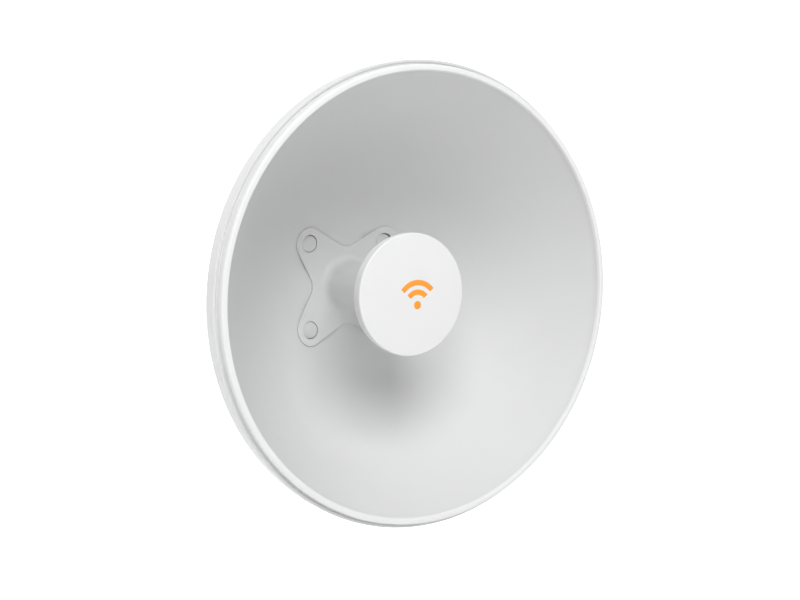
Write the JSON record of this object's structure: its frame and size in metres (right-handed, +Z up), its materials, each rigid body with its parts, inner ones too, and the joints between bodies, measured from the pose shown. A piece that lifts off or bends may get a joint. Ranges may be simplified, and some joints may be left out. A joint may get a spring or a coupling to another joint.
{
  "type": "outdoor wireless bridge",
  "caption": "Round dish antenna with a capped feed on its axis, a twist-on radio behind it, a tilting yoke and a toothed pole clamp.",
  "frame": {"origin": "axis of the pole, halfway up the clamp", "axes": "+Z up along the pole, -Y along the dish's line of sight at zero tilt, +X to the right seen from in front"},
  "size_m": [0.4, 0.343, 0.4],
  "materials": {
    "reflector_coating": "light grey powder coat on spun aluminium, satin",
    "feed_plastic": "light grey moulded plastic, satin",
    "cap_plastic": "white moulded plastic, low gloss",
    "screw_coating": "light grey coated steel stud heads",
    "radio_plastic": "white weatherproof plastic, fine texture",
    "cast_metal": "die-cast aluminium, as cast",
    "bracket_coating": "light grey powder coat on steel sheet",
    "zinc_steel": "zinc-plated steel",
    "bare_aluminium": "bare aluminium",
    "seal_rubber": "black silicone rubber",
    "dielectric": "ivory low-loss plastic",
    "circuit_board": "green solder mask",
    "black_plastic": "black UV-stable plastic",
    "light_pipe": "clear plastic light pipe"
  },
  "bodies": {
    "mount": {"pole_bracket": "bracket_coating", "front_jaw_upper": "cast_metal", "front_jaw_lower": "cast_metal", "clamp_bolt_1": "zinc_steel", "clamp_bolt_2": "zinc_steel", "clamp_bolt_3": "zinc_steel", "clamp_bolt_4": "zinc_steel"},
    "upper_clamp": {"rear_jaw_upper": "cast_metal", "clamp_nut_upper_left": "zinc_steel", "clamp_nut_upper_right": "zinc_steel"},
    "lower_clamp": {"rear_jaw_lower": "cast_metal", "clamp_nut_lower_left": "zinc_steel", "clamp_nut_lower_right": "zinc_steel"},
    "head": {"reflector": "reflector_coating", "feed_body": "feed_plastic", "waveguide": "bare_aluminium", "feed_plug": "dielectric", "cap_base": "cap_plastic", "subreflector": "bare_aluminium", "cap_seal": "seal_rubber", "feed_cap": "cap_plastic", "rear_hub": "cast_metal", "yoke": "bracket_coating", "feed_stud_1": "screw_coating", "feed_stud_2": "screw_coating", "feed_stud_3": "screw_coating", "feed_stud_4": "screw_coating", "hub_nut_1": "zinc_steel", "hub_nut_2": "zinc_steel", "hub_nut_3": "zinc_steel", "hub_nut_4": "zinc_steel", "pivot_bolt_left": "zinc_steel", "pivot_bolt_right": "zinc_steel", "pivot_nut_left": "zinc_steel", "pivot_nut_right": "zinc_steel", "lock_bolt_left": "zinc_steel", "lock_bolt_right": "zinc_steel", "lock_nut_left": "zinc_steel", "lock_nut_right": "zinc_steel"},
    "radio": {"radio_front": "radio_plastic", "radio_back": "radio_plastic", "radio_seal": "seal_rubber", "socket_seal": "seal_rubber", "probe_board": "circuit_board", "backshort_can": "bare_aluminium", "main_board": "circuit_board", "board_shield": "bare_aluminium", "thermal_pad": "seal_rubber", "ethernet_jack": "black_plastic", "status_lens": "light_pipe", "cover_screw_1": "zinc_steel", "cover_screw_2": "zinc_steel", "cover_screw_3": "zinc_steel", "ground_screw": "zinc_steel", "vent_plug": "black_plastic", "gland_body": "black_plastic", "gland_seal": "seal_rubber"},
    "gland_nut": {"gland_nut": "black_plastic"},
    "reset_button": {"reset_button": "black_plastic"}
  },
  "joints": [
    {"name": "upper_clamp_slide", "type": "slide", "parent": "mount", "child": "upper_clamp", "axis": [0, 1, 0], "range_m": [-0.018, 0.006]},
    {"name": "lower_clamp_slide", "type": "slide", "parent": "mount", "child": "lower_clamp", "axis": [0, 1, 0], "range_m": [-0.018, 0.006]},
    {"name": "tilt", "type": "hinge", "parent": "mount", "child": "head", "pos_m": [0, -0.062, 0], "axis": [-1, 0, 0], "range_deg": [-15, 15]},
    {"name": "radio_twist", "type": "hinge", "parent": "head", "child": "radio", "pos_m": [0, -0.1, 0], "axis": [0, 1, 0], "range_deg": [0, 32]},
    {"name": "gland_nut_turn", "type": "hinge", "parent": "radio", "child": "gland_nut", "pos_m": [0, -0.0785, -0.07], "axis": [0, 0, -1], "range_deg": [0, 360]},
    {"name": "reset_press", "type": "slide", "parent": "radio", "child": "reset_button", "axis": [0, -1, 0], "range_m": [0, 0.0008], "stiffness_N_per_m": 1500, "springref_m": -0.0005}
  ]
}
